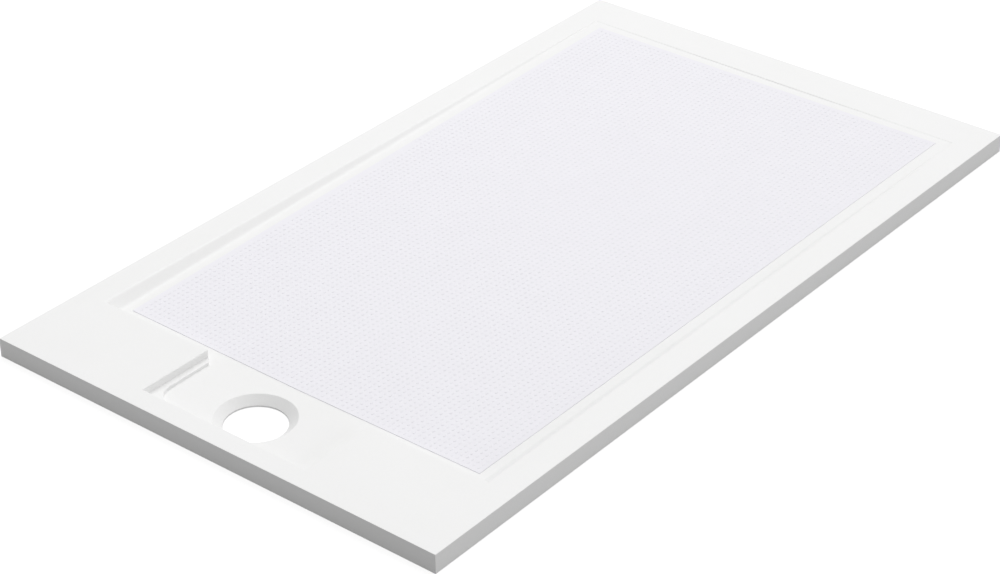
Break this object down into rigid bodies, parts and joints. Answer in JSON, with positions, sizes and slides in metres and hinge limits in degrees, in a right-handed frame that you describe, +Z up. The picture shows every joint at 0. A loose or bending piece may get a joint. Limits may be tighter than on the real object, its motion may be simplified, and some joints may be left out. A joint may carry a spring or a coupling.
{
  "type": "shower tray",
  "caption": "Ultra-flat rectangular white shower tray with a ramped, falling floor, a raised grip field, and a drain recess with a ledge, a countersink and an open waste hole at one end.",
  "frame": {"origin": "centre of the underside, on the surface the tray stands on", "axes": "+X across the tray, +Y along it from the drain end to the far end, +Z up"},
  "size_m": [0.8, 1.4, 0.03],
  "materials": {
    "white_acrylic": "satin white sanitary acrylic",
    "grip_coating": "matt, fine raised dots",
    "edge_timber": "sawn softwood, sealed with resin",
    "rigid_foam": "cut closed-cell foam",
    "plywood": "sanded plywood",
    "glass_fibre": "rough chopped-strand laminate"
  },
  "bodies": {
    "root": {"tray_shell": "white_acrylic", "grip_field": "grip_coating", "rim_batten_left": "edge_timber", "rim_batten_right": "edge_timber", "rim_batten_near": "edge_timber", "rim_batten_far": "edge_timber", "deck_core_left": "rigid_foam", "deck_core_right": "rigid_foam", "floor_core_left": "rigid_foam", "floor_core_right": "rigid_foam", "cross_slat_1": "plywood", "cross_slat_2": "plywood", "cross_slat_3": "plywood", "cross_slat_4": "plywood", "cross_slat_5": "plywood", "waste_board": "plywood", "backing_sheet": "glass_fibre"}
  },
  "joints": []
}
